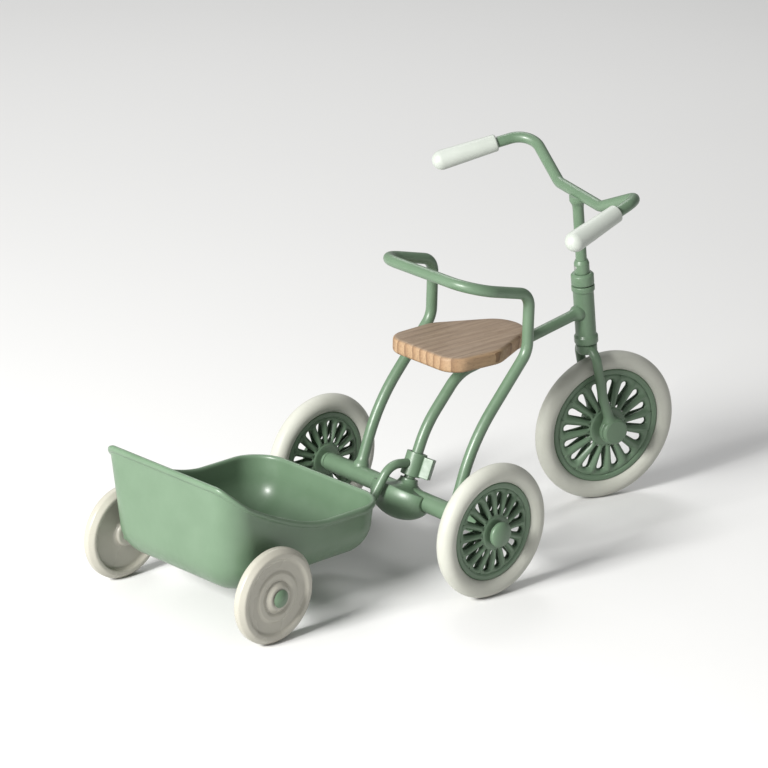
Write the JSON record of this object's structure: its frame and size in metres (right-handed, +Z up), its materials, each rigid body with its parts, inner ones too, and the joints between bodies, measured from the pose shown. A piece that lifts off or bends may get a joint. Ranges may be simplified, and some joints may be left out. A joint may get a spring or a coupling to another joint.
{
  "type": "doll-size tricycle with tub trailer",
  "caption": "Painted steel doll-size tricycle with a wooden seat, hoop backrest, slotted wheels and swept handlebar, towing a clip-on tub trailer on disc wheels.",
  "frame": {"origin": "on the ground, at the middle of the whole object's length and width", "axes": "+X forward, the way the tricycle rides; +Y to its left; +Z up"},
  "size_m": [0.1814, 0.0852, 0.1044],
  "materials": {
    "paint": "satin sage green enamel",
    "tyre": "matt off-white rubber",
    "grip": "satin pale grey-green vinyl",
    "seat_wood": "oiled open-grained wood",
    "steel": "dull drawn wire",
    "wheel_plastic": "semi-gloss off-white"
  },
  "bodies": {
    "frame": {"head_tube": "paint", "backbone_tube": "paint", "seat_hoop": "paint", "rear_axle_tube": "paint", "bell_housing": "paint", "seat_bracket": "paint", "seat_board": "seat_wood", "seat_screws": "steel", "rear_axle": "steel", "rear_axle_caps": "paint"},
    "steering": {"steering_stem": "paint", "headset_collar": "paint", "stem_sleeve": "paint", "handlebar": "paint", "left_grip": "grip", "right_grip": "grip", "fork": "paint", "front_axle": "steel", "front_axle_caps": "paint"},
    "front_wheel": {"front_tyre": "tyre", "front_left_disc": "paint", "front_right_disc": "paint", "front_hub_bush": "paint"},
    "left_rear_wheel": {"left_rear_tyre": "tyre", "left_rear_outer_disc": "paint", "left_rear_inner_disc": "paint", "left_rear_hub_bush": "paint"},
    "right_rear_wheel": {"right_rear_tyre": "tyre", "right_rear_outer_disc": "paint", "right_rear_inner_disc": "paint", "right_rear_hub_bush": "paint"},
    "trailer": {"hitch_clip": "paint", "drawbar": "paint", "drawbar_rivets": "paint", "trailer_tub": "paint", "trailer_pins": "steel", "trailer_spacers": "paint", "trailer_pin_caps": "paint"},
    "left_trailer_wheel": {"left_trailer_wheel": "wheel_plastic"},
    "right_trailer_wheel": {"right_trailer_wheel": "wheel_plastic"}
  },
  "joints": [
    {"name": "steering_turn", "type": "hinge", "parent": "frame", "child": "steering", "pos_m": [0.06797, -0.00232, 0], "axis": [-0.1392, 0, 0.9903], "range_deg": [-46, 74]},
    {"name": "front_wheel_spin", "type": "hinge", "parent": "steering", "child": "front_wheel", "pos_m": [0.06883, -0.00331, 0.02248], "axis": [0.2396, 0.9703, 0.0337], "continuous": true},
    {"name": "left_rear_wheel_spin", "type": "hinge", "parent": "frame", "child": "left_rear_wheel", "pos_m": [-0.00763, 0.03268, 0.019], "axis": [0, 1, 0], "continuous": true},
    {"name": "right_rear_wheel_spin", "type": "hinge", "parent": "frame", "child": "right_rear_wheel", "pos_m": [-0.00763, -0.03732, 0.019], "axis": [0, 1, 0], "continuous": true},
    {"name": "trailer_swing", "type": "hinge", "parent": "frame", "child": "trailer", "pos_m": [-0.00442, -0.00232, 0.02698], "axis": [0, 0, 1], "range_deg": [-6, 16]},
    {"name": "left_trailer_wheel_spin", "type": "hinge", "parent": "trailer", "child": "left_trailer_wheel", "pos_m": [-0.0774, 0.03454, 0.0133], "axis": [-0.0523, 0.9986, 0], "continuous": true},
    {"name": "right_trailer_wheel_spin", "type": "hinge", "parent": "trailer", "child": "right_trailer_wheel", "pos_m": [-0.07426, -0.02538, 0.0133], "axis": [-0.0523, 0.9986, 0], "continuous": true}
  ]
}
